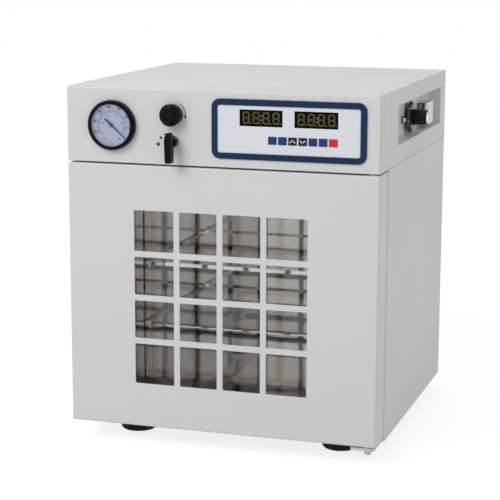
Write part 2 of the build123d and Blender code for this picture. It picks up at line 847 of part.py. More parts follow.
def vent_knob():
    """The round glossy knob on the vent valve's stem, with a dished face."""
    top = knob_height
    rim = knob_radius - knob_dome
    side = Polyline((0, top - knob_dish), (0, -stem_reach), (stem_radius, -stem_reach), (stem_radius, knob_lift),
                    (knob_radius - 1, knob_lift), (knob_radius, knob_lift + 1), (knob_radius, top - knob_dome))
    edge = RadiusArc(side @ 1, (rim, top), knob_dome)
    dish = Line(edge @ 1, side @ 0)
    section = Plane.XZ * make_face(side + edge + dish)
    return Plane(origin=(vent_x, 0, vent_z), z_dir=(0, -1, 0)).location * revolve(section, axis=Axis.Z)


def vacuum_lever():
    """The pointed lever on the vacuum valve: a round hub with a long flat grip."""
    stem = turned([(0, -stem_reach), (stem_radius, -stem_reach), (stem_radius, knob_lift),
                   (hub_radius, knob_lift), (hub_radius, lever_back + 1), (0, lever_back + 1)],
                  (vacuum_x, 0, vacuum_z), (0, -1, 0))
    outline = Polyline((-lever_point_width / 2, lever_tip), (lever_point_width / 2, lever_tip),
                       (lever_width / 2, lever_width / 4), (lever_tail_width / 2, -lever_tail),
                       (-lever_tail_width / 2, -lever_tail), (-lever_width / 2, lever_width / 4), close=True)
    grip = extrude(make_face(outline), lever_front - lever_back)
    grip = fillet(grip.edges().group_by(Axis.Z)[-1], 2.5)
    turn = Plane(origin=(vacuum_x, -lever_back, vacuum_z), x_dir=(1, 0, 0), z_dir=(0, -1, 0))
    return stem + turn.location * grip


def display_frame():
    """The raised dark frame round the display, with softened edges."""
    x = around(display_x, display_width)
    z = around(display_z, display_height)
    border = display_border
    frame = rounded_plate(x, (-display_proud, 0), z, display_corner)
    frame = fillet(frame.edges().group_by(Axis.Y)[0], 1.2)
    inner_x = (x[0] + border, x[1] - border)
    inner_z = (z[0] + border, z[1] - border)
    return frame - rounded_plate(inner_x, (-display_proud - 1, 1), inner_z, face_corner)


def lens_places():
    return [lens_x + sign * lens_spread / 2 for sign in (-1, 1)]


def key_places():
    return [first_key_x + index * key_pitch for index in range(key_count)]


def display_face():
    """The pale front plate inside the frame, pierced for the displays and the keys."""
    x = around(display_x, display_width - 2 * display_border)
    z = around(display_z, display_height - 2 * display_border)
    face = rounded_plate(x, (-face_proud, 0), z, face_corner)
    for place in lens_places():
        face -= block(around(place, lens_width), (-face_proud - 1, 1), around(lens_z, lens_height))
    for place in key_places():
        hole_x = around(place, key_width + 2 * key_clearance)
        hole_z = around(key_z, key_height + 2 * key_clearance)
        face -= block(hole_x, (-face_proud - 1, 1), hole_z)
    return face


def display_lenses():
    """The two dark filters over the digits."""
    panes = [block(around(place, lens_width), (-face_proud + 0.3, 0.2), around(lens_z, lens_height))
             for place in lens_places()]
    return group(panes)


def digit_modules():
    """The two four-digit light modules that stand on the board behind the filters."""
    modules = []
    for place in lens_places():
        module = block(around(place, module_width), (module_front, board_y), around(lens_z, module_height))
        modules.append(chamfer(module.edges().group_by(Axis.Y)[0], 0.8))
    return group(modules)


def control_board():
    """The circuit board behind the panel, with one push switch behind each key."""
    x = around(display_x, display_width - 2 * board_margin)
    z = around(display_z, display_height - 2 * board_margin)
    board = block(x, (board_y, board_y + board_thickness), z)
    for place in key_places():
        top = board_y - push_switch_height
        board += block(around(place, push_switch), (top, board_y), around(key_z, push_switch))
        tip = key_stem_end + key_travel + 0.1
        board += rod((place, top, key_z), (0, -1, 0), plunger_radius, top - tip)
    for x, z in standoff_places():
        board -= rod((x, board_y - 1, z), (0, 1, 0), screw_radius, 2 * board_thickness)
    posts = [rod((x, sheet, z), (0, 1, 0), standoff_radius, board_y - sheet) for x, z in standoff_places()]
    return group([board] + posts)


def standoff_places():
    across = display_width / 2 - board_margin - 2 * standoff_radius
    up = display_height / 2 - board_margin - 1.5 * standoff_radius
    return [(display_x + i * across, display_z + j * up) for i in (-1, 1) for j in (-1, 1)]


def key(index):
    """One key: a softened cap in its opening and a stem that reaches its switch."""
    place = key_places()[index]
    front = -face_proud - key_proud
    cap = block(around(place, key_width), (front, -0.2), around(key_z, key_height))
    cap = fillet(cap.edges().filter_by(Axis.Y), 1.2)
    cap = fillet(cap.edges().group_by(Axis.Y)[0], 0.5)
    return cap + rod((place, -0.2, key_z), (0, 1, 0), key_stem_radius, key_stem_end + 0.2)


def limit_thermostat():
    """The body of the over-temperature limiter, with its collar through the recess wall."""
    start = recess_x - sheet
    outline = [(0, -limit_body_depth), (limit_body_radius, -limit_body_depth), (limit_body_radius, 0),
               (limit_collar_radius, 0), (limit_collar_radius, sheet + skirt_lift - 1),
               (stem_radius + running, sheet + skirt_lift - 1), (stem_radius + running, -stem_reach), (0, -stem_reach)]
    body = turned(outline, (start, limit_y, limit_z), (1, 0, 0))
    arm_y = (reset_y - limit_arm_width / 2, limit_y - limit_body_radius / 2)
    arm = block((start - limit_arm, start), arm_y, around(limit_z, limit_arm_width))
    collar = rod((start, reset_y, reset_z), (1, 0, 0), reset_radius + 1, sheet)
    cap = turned([(0, 0), (reset_collar, 0), (reset_collar - 1, reset_collar_height), (0, reset_collar_height)],
                 (recess_x, reset_y, reset_z), (1, 0, 0))
    solid = body + arm + collar + cap
    return solid - rod((start - limit_arm / 2, reset_y, reset_z), (1, 0, 0), reset_radius + key_clearance,
                       limit_arm)


def limit_dial():
    """The skirted dial: a flat skirt for the scale and a fluted, tapered grip."""
    front = skirt_lift + skirt_thickness
    outline = [(0, -stem_reach - sheet + 1), (stem_radius, -stem_reach - sheet + 1), (stem_radius, skirt_lift),
               (skirt_radius - 1, skirt_lift), (skirt_radius, skirt_lift + 1), (skirt_radius - 4, front), (0, front)]
    skirt = turned(outline, (recess_x, limit_y, limit_z), (1, 0, 0))
    flutes = PolarLocations(limit_knob_radius, flute_count) * Circle(flute_radius)
    grip = extrude(Circle(limit_knob_radius) - flutes, limit_knob_length, taper=limit_knob_taper)
    return skirt + Plane(origin=(recess_x + front, limit_y, limit_z), z_dir=(1, 0, 0)).location * grip


def reset_button():
    start = recess_x - sheet - 3
    button = rod((start, reset_y, reset_z), (1, 0, 0), reset_radius, recess_x - start + reset_proud)
    return fillet(button.edges().group_by(Axis.X)[-1], 1.2)


def switch_body():
    """The rocker switch: a black bezel on the recess wall and its housing behind."""
    bezel = block((recess_x, recess_x + bezel_proud), around(switch_y, bezel_length), around(switch_z, bezel_width))
    bezel = fillet(bezel.edges().group_by(Axis.X)[-1], 1.2)
    housing = block((recess_x - switch_body_depth, recess_x), around(switch_y, bezel_length - 2 * switch_inset),
                    around(switch_z, bezel_width - 2 * switch_inset))
    opening = block((recess_x - rocker_room, recess_x + bezel_proud + 1),
                    around(switch_y, rocker_length + 2 * rocker_gap),
                    around(switch_z, rocker_width + 2 * rocker_gap))
    bore = rod((recess_x + rocker_pivot, switch_y, switch_z - bezel_width), (0, 0, 1), trunnion_radius + running,
               2 * bezel_width)
    return bezel + housing - opening - bore


def power_rocker():
    """The rocker itself: round-ended, dished in the middle, tipped to one side at rest."""
    top = rocker_thickness / 2
    outline = Circle(rocker_length / 2) & Rectangle(rocker_thickness, rocker_length)
    outline -= make_face(Polyline((top + 1, -rocker_length / 2 - 5), (top + 1, rocker_length / 2 + 5),
                                  (top - rocker_dip, 0), close=True))
    piece = extrude(outline, rocker_width / 2, both=True)
    piece += Cylinder(trunnion_radius, rocker_width + 2 * trunnion_reach)
    turn = Pos(recess_x + rocker_pivot, switch_y, switch_z) * Rot(0, 0, -rocker_tilt)
    return turn * piece


def switch_cover():
    """The clear moulded cover over the switch."""
    y = around(switch_y, cover_length)
    z = around(switch_z, cover_width)
    cover = block((recess_x, recess_x + cover_height), y, z)
    cover = fillet(cover.edges().group_by(Axis.X)[-1] + cover.edges().filter_by(Axis.X), 3)
    hollow = block((recess_x - 1, recess_x + cover_height - cover_wall),
                   around(switch_y, cover_length - 2 * cover_wall), around(switch_z, cover_width - 2 * cover_wall))
    return cover - fillet(hollow.edges().group_by(Axis.X)[-1], 1.5)


def tube(points):
    """A bent pipe along straight runs joined by round bends."""
    path = FilletPolyline(*points, radius=tube_bend) if len(points) > 2 else Line(*points)
    section = Plane(origin=path @ 0, z_dir=path % 0) * (Circle(tube_radius) - Circle(tube_bore))
    return sweep(section, path=path)


def vacuum_pipes():
    """The manifold block on the deck and the pipes that join chamber, gauge, valves and port."""
    width, depth, height = manifold_size
    front = manifold_y
    back = front + depth
    block_z = (deck_top, deck_top + height)
    manifold = chamfer(block(around(manifold_x, width), (front, back), block_z).edges(), 1)
    high = vent_z - 40
    low = deck_top + 14
    stem_end = gauge_body_depth + gauge_stem_length
    gauge_line = tube([(gauge_x, stem_end, gauge_z), (gauge_x, 90, gauge_z),
                       (manifold_x - 12, 130, high - 10), (manifold_x - 12, front, high - 10)])
    vent_line = tube([(vent_x, valve_depth, vent_z), (vent_x, 90, vent_z),
                      (manifold_x + 12, 130, high - 2), (manifold_x + 12, front, high - 2)])
    vacuum_line = tube([(vacuum_x - valve_radius, 22, vacuum_z), (manifold_x, 22, vacuum_z),
                        (manifold_x, 60, low), (manifold_x, front, low)])
    chamber_line = tube([(manifold_x, back, low), (manifold_x, line_y, low),
                         (manifold_x, line_y, line_z), (manifold_x, chamber_back + chamber_wall, line_z)])
    pump_line = tube([(vacuum_x, valve_depth, vacuum_z), (vacuum_x, back_y - sheet, vacuum_z)])
    return group([manifold, gauge_line, vent_line, vacuum_line, chamber_line, pump_line])


def vacuum_port():
    """The hose nozzle on the back, with its flange and a bead near the end."""
    start = back_y + sheet
    tip = cabinet_depth + port_reach - start
    outline = [(tube_bore, -2 * sheet), (port_radius + port_neck, -2 * sheet), (port_radius + port_neck, 0),
               (port_flange_radius, 0), (port_flange_radius, port_flange), (port_radius, port_flange),
               (port_radius, tip - 3), (port_radius - port_bead, tip), (tube_bore, tip)]
    return turned(outline, (port_x, start, port_z), (0, 1, 0))


def power_inlet():
    """The mains inlet on the back: a flanged socket with three contact blades."""
    start = back_y + sheet
    plate = block(around(inlet_x, inlet_width), (start, start + inlet_flange), around(inlet_z, inlet_height))
    plate = fillet(plate.edges().filter_by(Axis.Y), 4)
    body = block(around(inlet_x, inlet_body[0]), (start - inlet_depth, start), around(inlet_z, inlet_body[1]))
    floor = start - inlet_depth + inlet_flange
    inlet = plate + body - block(around(inlet_x, inlet_socket[0]), (floor, start + 2 * inlet_flange),
                                 around(inlet_z, inlet_socket[1]))
    for x, z in blade_places:
        inlet += block(around(inlet_x + x, blade_width), (floor, start - inlet_flange),
                       around(inlet_z + z, blade_height))
    return inlet


def heater_relay():
    """The solid-state relay on its finned heat sink, fixed to the deck."""
    width, depth, height = sink_size
    x = around(sink_x, width)
    y = around(sink_y, depth)
    sink = block(x, y, (deck_top, deck_top + height))
    pitch = width / fin_count
    for index in range(fin_count):
        middle = x[0] + (index + 0.5) * pitch
        sink -= block(around(middle, fin_gap), y, (deck_top + fin_root, deck_top + height))
    relay = block(around(sink_x, relay_size[0]), around(sink_y, relay_size[1]),
                  (deck_top + height, deck_top + height + relay_size[2]))
    return group([sink, fillet(relay.edges().filter_by(Axis.Z), 3)])


pieces = {
    "base_pan": base_pan(),
    "left_side_panel": side_panel(-1),
    "right_side_panel": side_panel(1),
    "rear_panel": rear_panel(),
    "front_frame": front_frame(),
    "control_fascia": control_fascia(),
    "head_left_panel": head_side(-1),
    "head_right_panel": head_side(1),
    "top_panel": top_panel(),
    "head_deck": head_deck(),
    "side_pocket": side_pocket(),
    "chamber": chamber(),
    "chamber_ribs": chamber_ribs(),
    "chamber_gasket": chamber_gasket(),
    "heater_pads": heater_pads(),
    "insulation": insulation(),
    "shelf_racks": shelf_racks(),
    "lower_shelf": shelf(shelf_heights()[0]),
    "upper_shelf": shelf(shelf_heights()[1]),
    "temperature_probe": temperature_probe(),
    "feet": feet(),
    "hinge_brackets": hinge_brackets(),
    "gauge_case": gauge_case(),
    "gauge_dial": gauge_dial(),
    "gauge_glass": gauge_glass(),
    "gauge_movement": gauge_movement(),
    "valve_bodies": valve_bodies(),
    "vacuum_pipes": vacuum_pipes(),
    "vacuum_port": vacuum_port(),
    "power_inlet": power_inlet(),
    "display_frame": display_frame(),
    "display_face": display_face(),
    "display_lenses": display_lenses(),
    "digit_modules": digit_modules(),
    "control_board": control_board(),
    "heater_relay": heater_relay(),
    "limit_thermostat": limit_thermostat(),
    "switch_body": switch_body(),
    "switch_cover": switch_cover(),
    "catch_magnets": catch_magnets(),
    "door_shell": door_shell(),
    "finger_cup": finger_cup(),
    "door_liner": door_liner(),
    "window_shroud": window_shroud(),
    "door_glass": door_glass(),
    "glass_frame": glass_frame(),
    "hinge_bushes": hinge_bushes(),
    "vent_knob": vent_knob(),
    "vacuum_lever": vacuum_lever(),
    "gauge_needle": gauge_needle(),
    "limit_dial": limit_dial(),
    "power_rocker": power_rocker(),
    "reset_button": reset_button(),
}
for index in range(key_count):
    pieces[f"key_{index + 1}"] = key(index)

# The origin is the middle of the whole outline, on the floor.
centre = Pos(-reach_right / 2, -centre_y, 0)

os.makedirs("parts", exist_ok=True)
for name, piece in pieces.items():
    export_step(centre * piece, f"parts/{name}.step")
    box = (centre * piece).bounding_box()
    print(name, round(piece.volume), box.min, box.max)
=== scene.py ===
# A bench vacuum oven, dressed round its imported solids. Everything is in metres, in the
# frame of the solids: X to the oven's right, Y to its back, Z up from the bench.
import math

import bmesh
import bpy
from mathutils import Matrix, Vector


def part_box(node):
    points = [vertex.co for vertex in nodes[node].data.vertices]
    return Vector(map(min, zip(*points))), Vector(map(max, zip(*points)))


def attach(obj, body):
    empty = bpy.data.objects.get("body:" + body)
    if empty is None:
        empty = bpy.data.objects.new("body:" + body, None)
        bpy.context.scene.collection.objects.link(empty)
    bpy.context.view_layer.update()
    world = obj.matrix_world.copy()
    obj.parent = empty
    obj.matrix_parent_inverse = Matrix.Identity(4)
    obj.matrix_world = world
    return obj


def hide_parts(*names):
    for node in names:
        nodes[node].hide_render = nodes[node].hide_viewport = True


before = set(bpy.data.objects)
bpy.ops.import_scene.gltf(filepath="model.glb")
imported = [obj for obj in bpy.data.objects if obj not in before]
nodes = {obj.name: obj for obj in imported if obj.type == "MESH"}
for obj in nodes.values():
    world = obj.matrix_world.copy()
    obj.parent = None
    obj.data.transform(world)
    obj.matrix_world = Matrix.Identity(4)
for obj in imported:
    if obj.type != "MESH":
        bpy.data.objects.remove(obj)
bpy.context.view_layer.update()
scene = bpy.context.scene
scene.view_settings.view_transform = "Standard"
mm = 0.001

# Camera. The photograph is taken with a long lens from the front right, a little above
# the oven's top, and the camera is nearly level.
camera_data = bpy.data.cameras.new("camera")
camera_data.lens = 116.98
camera_data.sensor_width = 36
camera_data.clip_end = 40
camera_height = 0.8454
turned_left = math.radians(17.537)
tilted_down = math.radians(10.930)
rolled = math.radians(0.151)
camera = bpy.data.objects.new("camera", camera_data)
camera_place = Matrix.Translation((0.8205, -2.7169, camera_height))
camera_turn = Matrix.Rotation(turned_left, 4, "Z")
camera_tilt = Matrix.Rotation(math.radians(90) - tilted_down, 4, "X")
camera_roll = Matrix.Rotation(rolled, 4, "Z")
camera.matrix_world = camera_place @ camera_turn @ camera_tilt @ camera_roll
scene.collection.objects.link(camera)
scene.camera = camera

# Studio. A white sweep with one broad soft lamp high at the front left and two weak ones,
# so the oven's right side is a shade darker. What the camera sees of it is plain white.
seen_white = 1.0
ambient = 0.50
floor_half = 9
floor_glow = 0.8
floor_seen = (0.34, 0.34, 0.34, 1)
floor_lit = (0.75, 0.75, 0.75, 1)
lamp_aim = Vector((0, 0, 0.3))


def seen_mask(tree):
    """A value that is one for rays that show the background, and nothing for those that light."""
    path = tree.nodes.new("ShaderNodeLightPath")
    first = tree.nodes.new("ShaderNodeMath")
    first.operation = "MAXIMUM"
    second = tree.nodes.new("ShaderNodeMath")
    second.operation = "MAXIMUM"
    tree.links.new(path.outputs["Is Camera Ray"], first.inputs[0])
    tree.links.new(path.outputs["Is Glossy Ray"], first.inputs[1])
    tree.links.new(first.outputs[0], second.inputs[0])
    tree.links.new(path.outputs["Is Transmission Ray"], second.inputs[1])
    return second.outputs[0]


world = bpy.data.worlds.new("studio")
world.use_nodes = True
scene.world = world
sky = world.node_tree
background = sky.nodes["Background"]
background.inputs["Color"].default_value = (1, 1, 1, 1)
level = sky.nodes.new("ShaderNodeMapRange")
level.inputs["To Min"].default_value = ambient
level.inputs["To Max"].default_value = seen_white
sky.links.new(seen_mask(sky), level.inputs["Value"])
sky.links.new(level.outputs["Result"], background.inputs["Strength"])

floor_mesh = bpy.data.meshes.new("floor")
bm = bmesh.new()
bmesh.ops.create_grid(bm, x_segments=1, y_segments=1, size=floor_half)
bm.to_mesh(floor_mesh)
bm.free()
floor = bpy.data.objects.new("floor", floor_mesh)
scene.collection.objects.link(floor)
floor_material = bpy.data.materials.new("white_floor")
floor_material.use_nodes = True
tree = floor_material.node_tree
shader = tree.nodes["Principled BSDF"]
shader.inputs["Roughness"].default_value = 0.9
shader.inputs["Specular IOR Level"].default_value = 0.1
shader.inputs["Emission Color"].default_value = (1, 1, 1, 1)
mask = seen_mask(tree)
glow = tree.nodes.new("ShaderNodeMapRange")
glow.inputs["To Min"].default_value = 0
glow.inputs["To Max"].default_value = floor_glow
tree.links.new(mask, glow.inputs["Value"])
tree.links.new(glow.outputs["Result"], shader.inputs["Emission Strength"])
shade = tree.nodes.new("ShaderNodeMix")
shade.data_type = "RGBA"
shade.inputs["A"].default_value = floor_lit
shade.inputs["B"].default_value = floor_seen
tree.links.new(mask, shade.inputs["Factor"])
tree.links.new(shade.outputs["Result"], shader.inputs["Base Color"])
floor_mesh.materials.append(floor_material)

for lamp_name, place, size, power in (
        ("key_lamp", (-1.5, -2.8, 2.7), 2.0, 58),
        ("fill_lamp", (1.9, -2.4, 1.2), 1.8, 5),
        ("top_lamp", (0.0, 0.2, 3.0), 2.4, 3)):
    lamp_data = bpy.data.lights.new(lamp_name, "AREA")
    lamp_data.shape = "DISK"
    lamp_data.size = size
    lamp_data.energy = power
    lamp = bpy.data.objects.new(lamp_name, lamp_data)
    facing_down = (lamp_aim - Vector(place)).to_track_quat("-Z", "Y").to_matrix().to_4x4()
    lamp.matrix_world = Matrix.Translation(place) @ facing_down
    scene.collection.objects.link(lamp)

# Painted sheet. The cabinet, the head and the door are folded from thin steel sheet and
# powder coated light grey: a fine orange-peel skin that is thinner and paler on its edges.


def new_group(name, takes, gives):
    """An empty shader node group with named inputs and outputs."""
    group = bpy.data.node_groups.new(name, "ShaderNodeTree")
    for label, kind, value in takes:
        socket = group.interface.new_socket(label, in_out="INPUT", socket_type=kind)
        if value is not None:
            socket.default_value = value
    for label, kind in gives:
        group.interface.new_socket(label, in_out="OUTPUT", socket_type=kind)
    return group, group.nodes.new("NodeGroupInput"), group.nodes.new("NodeGroupOutput")


def texture(group, kind, coordinate, scale, detail=2.0):
    """A texture in a group, its scale from a socket or a number."""
    node = group.nodes.new(kind)
    if "Detail" in node.inputs:
        node.inputs["Detail"].default_value = detail
    group.links.new(coordinate, node.inputs["Vector"])
    if isinstance(scale, (int, float)):
        node.inputs["Scale"].default_value = scale
    else:
        group.links.new(scale, node.inputs["Scale"])
    return node


def remap(group, value, low, high, to_low, to_high):
    """A value stretched from one range to another, with its ends held."""
    node = group.nodes.new("ShaderNodeMapRange")
    group.links.new(value, node.inputs["Value"])
    limits = {"From Min": low, "From Max": high, "To Min": to_low, "To Max": to_high}
    for label, number in limits.items():
        if isinstance(number, (int, float)):
            node.inputs[label].default_value = number
        else:
            group.links.new(number, node.inputs[label])
    return node.outputs["Result"]


def blend_colours(group, factor, first, second):
    """Two colours mixed by a factor, each a socket or a colour."""
    node = group.nodes.new("ShaderNodeMix")
    node.data_type = "RGBA"
    for label, value in (("Factor", factor), ("A", first), ("B", second)):
        if isinstance(value, (int, float, tuple)):
            node.inputs[label].default_value = value
        else:
            group.links.new(value, node.inputs[label])
    return node.outputs["Result"]


def product(group, first, second):
    """One value times another."""
    node = group.nodes.new("ShaderNodeMath")
    node.operation = "MULTIPLY"
    for socket, value in zip(node.inputs, (first, second)):
        if isinstance(value, (int, float)):
            socket.default_value = value
        else:
            group.links.new(value, socket)
    return node.outputs[0]


def bump(group, height, depth, normal=None):
    """A normal from a height, its depth in metres."""
    node = group.nodes.new("ShaderNodeBump")
    node.inputs["Strength"].default_value = 1.0
    group.links.new(height, node.inputs["Height"])
    if isinstance(depth, (int, float)):
        node.inputs["Distance"].default_value = depth
    else:
        group.links.new(depth, node.inputs["Distance"])
    if normal is not None:
        group.links.new(normal, node.inputs["Normal"])
    return node.outputs["Normal"]


edge_group, taken, given = new_group(
    "soft_edges", [("Radius", "NodeSocketFloat", 0.0006)],
    [("Mask", "NodeSocketFloat"), ("Normal", "NodeSocketVector")])
round_edge = edge_group.nodes.new("ShaderNodeBevel")
round_edge.samples = 4
edge_group.links.new(taken.outputs["Radius"], round_edge.inputs["Radius"])
facing = edge_group.nodes.new("ShaderNodeNewGeometry")
compare = edge_group.nodes.new("ShaderNodeVectorMath")
compare.operation = "DOT_PRODUCT"
edge_group.links.new(round_edge.outputs["Normal"], compare.inputs[0])
edge_group.links.new(facing.outputs["Normal"], compare.inputs[1])
edge_mask = remap(edge_group, compare.outputs["Value"], 0.995, 0.8, 0, 1)
edge_group.links.new(edge_mask, given.inputs["Mask"])
edge_group.links.new(round_edge.outputs["Normal"], given.inputs["Normal"])

finish_outputs = [("Colour", "NodeSocketColor"), ("Roughness", "NodeSocketFloat"),
                  ("Normal", "NodeSocketVector")]
paint_group, taken, given = new_group(
    "powder_coat",
    [("Colour", "NodeSocketColor", (0.7, 0.7, 0.7, 1)), ("Peel Scale", "NodeSocketFloat", 900.0),
     ("Peel Depth", "NodeSocketFloat", 0.00002), ("Edge Wear", "NodeSocketFloat", 0.3)],
    finish_outputs)
where = paint_group.nodes.new("ShaderNodeTexCoord").outputs["Object"]
peel = texture(paint_group, "ShaderNodeTexNoise", where, taken.outputs["Peel Scale"])
cloud = texture(paint_group, "ShaderNodeTexNoise", where, 5.0, 3.0)
speck = texture(paint_group, "ShaderNodeTexNoise", where, 2600.0, 1.0)
edges = paint_group.nodes.new("ShaderNodeGroup")
edges.node_tree = edge_group
edges.inputs["Radius"].default_value = 0.0008
shading = remap(paint_group, cloud.outputs["Fac"], 0.3, 0.7, 0.0, 0.035)
shaded = blend_colours(paint_group, shading, taken.outputs["Colour"], (0.5, 0.49, 0.46, 1))
speckling = remap(paint_group, speck.outputs["Fac"], 0.62, 0.75, 0.0, 0.12)
speckled = blend_colours(paint_group, speckling, shaded, (0.86, 0.86, 0.86, 1))
wear = product(paint_group, edges.outputs["Mask"], taken.outputs["Edge Wear"])
worn = blend_colours(paint_group, wear, speckled, (0.9, 0.9, 0.9, 1))
sheen = remap(paint_group, cloud.outputs["Fac"], 0.3, 0.7, 0.38, 0.46)
orange_peel = bump(paint_group, peel.outputs["Fac"], taken.outputs["Peel Depth"],
                   edges.outputs["Normal"])
paint_group.links.new(worn, given.inputs["Colour"])
paint_group.links.new(sheen, given.inputs["Roughness"])
paint_group.links.new(orange_peel, given.inputs["Normal"])


def finish_material(name, group=None, inputs=(), metallic=0.0, roughness=0.5,
                    colour=(0.8, 0.8, 0.8), **sockets):
    """A material: constants on the shader itself, and what varies over the surface from a group."""
    material = bpy.data.materials.new(name)
    material.use_nodes = True
    shader = material.node_tree.nodes["Principled BSDF"]
    shader.inputs["Metallic"].default_value = metallic
    shader.inputs["Roughness"].default_value = roughness
    shader.inputs["Base Color"].default_value = (*colour, 1)
    for label, value in sockets.items():
        shader.inputs[label.replace("_", " ")].default_value = value
    if group is not None:
        skin = material.node_tree.nodes.new("ShaderNodeGroup")
        skin.node_tree = group
        for label, value in inputs:
            skin.inputs[label].default_value = value
        joined = {"Colour": "Base Color", "Roughness": "Roughness", "Normal": "Normal"}
        for output, socket in joined.items():
            material.node_tree.links.new(skin.outputs[output], shader.inputs[socket])
    return material


def dress(material, *names):
    """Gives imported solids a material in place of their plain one."""
    for name in names:
        nodes[name].material_slots[0].material = material


grey_paint = finish_material("grey_paint", paint_group, [("Colour", (0.70, 0.70, 0.71, 1))],
                             Coat_Weight=0.12, Coat_Roughness=0.3)
dress(grey_paint, "left_side_panel", "right_side_panel", "rear_panel", "control_fascia",
      "head_left_panel", "head_right_panel", "top_panel", "side_pocket", "base_pan",
      "door_shell", "door_liner")

# Bright metals. The chamber is welded from mirror-polished stainless sheet with very slight
# waves; frames and the probe are brushed, and the ribs outside are as rolled.
metal_group, taken, given = new_group(
    "metal_skin",
    [("Colour", "NodeSocketColor", (0.7, 0.7, 0.7, 1)), ("Smooth", "NodeSocketFloat", 0.08),
     ("Dull", "NodeSocketFloat", 0.2), ("Line Stretch", "NodeSocketVector", (1, 1, 1)),
     ("Line Scale", "NodeSocketFloat", 700.0), ("Line Depth", "NodeSocketFloat", 0.000004),
     ("Wave Depth", "NodeSocketFloat", 0.0)],
    finish_outputs)
where = metal_group.nodes.new("ShaderNodeTexCoord").outputs["Object"]
stretch = metal_group.nodes.new("ShaderNodeVectorMath")
stretch.operation = "MULTIPLY"
metal_group.links.new(where, stretch.inputs[0])
metal_group.links.new(taken.outputs["Line Stretch"], stretch.inputs[1])
lines = texture(metal_group, "ShaderNodeTexNoise", stretch.outputs[0],
                taken.outputs["Line Scale"], 4.0)
waves = texture(metal_group, "ShaderNodeTexNoise", where, 9.0, 1.0)
stains = texture(metal_group, "ShaderNodeTexNoise", where, 26.0, 5.0)
dimming = remap(metal_group, stains.outputs["Fac"], 0.35, 0.7, 0.0, 0.18)
dimmed = blend_colours(metal_group, dimming, taken.outputs["Colour"], (0.36, 0.34, 0.31, 1))
metal_group.links.new(dimmed, given.inputs["Colour"])
gloss_change = remap(metal_group, lines.outputs["Fac"], 0.3, 0.7, taken.outputs["Smooth"],
                     taken.outputs["Dull"])
metal_group.links.new(gloss_change, given.inputs["Roughness"])
waved = bump(metal_group, waves.outputs["Fac"], taken.outputs["Wave Depth"])
lined = bump(metal_group, lines.outputs["Fac"], taken.outputs["Line Depth"], waved)
metal_group.links.new(lined, given.inputs["Normal"])


def metal(name, colour, smooth, dull, **lines):
    """A bare metal: its colour, its roughness between two ends, and the lines it shows."""
    inputs = [("Colour", (*colour, 1)), ("Smooth", smooth), ("Dull", dull)]
    inputs += [(label.replace("_", " "), value) for label, value in lines.items()]
    return finish_material(name, metal_group, inputs, metallic=1.0)


polished_steel = metal("polished_steel", (0.55, 0.525, 0.50), 0.02, 0.05, Line_Scale=90.0,
                       Line_Depth=0.0000001, Wave_Depth=0.00025)
brushed_steel = metal("brushed_steel", (0.62, 0.61, 0.59), 0.22, 0.38, Line_Stretch=(0.03, 0.03, 1))
plated_steel = metal("plated_steel", (0.66, 0.67, 0.68), 0.3, 0.5, Line_Scale=60.0)
rolled_steel = metal("rolled_steel", (0.42, 0.42, 0.43), 0.4, 0.6, Line_Stretch=(0.05, 1, 1))
turned_brass = metal("turned_brass", (0.72, 0.52, 0.24), 0.2, 0.32, Line_Stretch=(1, 0.05, 1))
drawn_copper = metal("drawn_copper", (0.73, 0.41, 0.28), 0.18, 0.35, Line_Scale=200.0)
nickel_plate = metal("nickel_plate", (0.70, 0.68, 0.64), 0.1, 0.18)
sink_metal = metal("sink_metal", (0.74, 0.75, 0.76), 0.28, 0.42, Line_Stretch=(1, 0.04, 1))
dress(polished_steel, "chamber", "window_shroud")
dress(brushed_steel, "front_frame", "glass_frame", "temperature_probe")
dress(plated_steel, "head_deck")
dress(rolled_steel, "chamber_ribs")
dress(turned_brass, "gauge_movement", "valve_bodies", "hinge_bushes")
dress(drawn_copper, "vacuum_pipes")
dress(nickel_plate, "vacuum_port")
dress(sink_metal, "heater_relay")
painted_plate = finish_material("painted_plate", paint_group, [("Colour", (0.66, 0.66, 0.65, 1))])
dress(painted_plate, "hinge_brackets")

# Mouldings and rubber. Knobs, bezels and keys are injection moulded, gloss or fine matt,
# and feet, gasket and heater mats are rubber: dull, slightly mottled, paler where rubbed.
skin_group, taken, given = new_group(
    "moulded_skin",
    [("Colour", "NodeSocketColor", (0.05, 0.05, 0.05, 1)),
     ("Rubbed Colour", "NodeSocketColor", (0.2, 0.2, 0.2, 1)), ("Rubbing", "NodeSocketFloat", 0.2),
     ("Smooth", "NodeSocketFloat", 0.2), ("Dull", "NodeSocketFloat", 0.3),
     ("Grain Scale", "NodeSocketFloat", 1500.0), ("Grain Depth", "NodeSocketFloat", 0.00001)],
    finish_outputs)
where = skin_group.nodes.new("ShaderNodeTexCoord").outputs["Object"]
grain = texture(skin_group, "ShaderNodeTexNoise", where, taken.outputs["Grain Scale"], 2.0)
smears = texture(skin_group, "ShaderNodeTexNoise", where, 70.0, 4.0)
edges = skin_group.nodes.new("ShaderNodeGroup")
edges.node_tree = edge_group
edges.inputs["Radius"].default_value = 0.0004
rubbing = product(skin_group, edges.outputs["Mask"], taken.outputs["Rubbing"])
rubbed = blend_colours(skin_group, rubbing, taken.outputs["Colour"], taken.outputs["Rubbed Colour"])
smeared = remap(skin_group, smears.outputs["Fac"], 0.45, 0.75, 0.0, 0.12)
mottled = blend_colours(skin_group, smeared, rubbed, taken.outputs["Rubbed Colour"])
gloss_change = remap(skin_group, smears.outputs["Fac"], 0.35, 0.7, taken.outputs["Smooth"],
                     taken.outputs["Dull"])
grained = bump(skin_group, grain.outputs["Fac"], taken.outputs["Grain Depth"],
               edges.outputs["Normal"])
skin_group.links.new(mottled, given.inputs["Colour"])
skin_group.links.new(gloss_change, given.inputs["Roughness"])
skin_group.links.new(grained, given.inputs["Normal"])


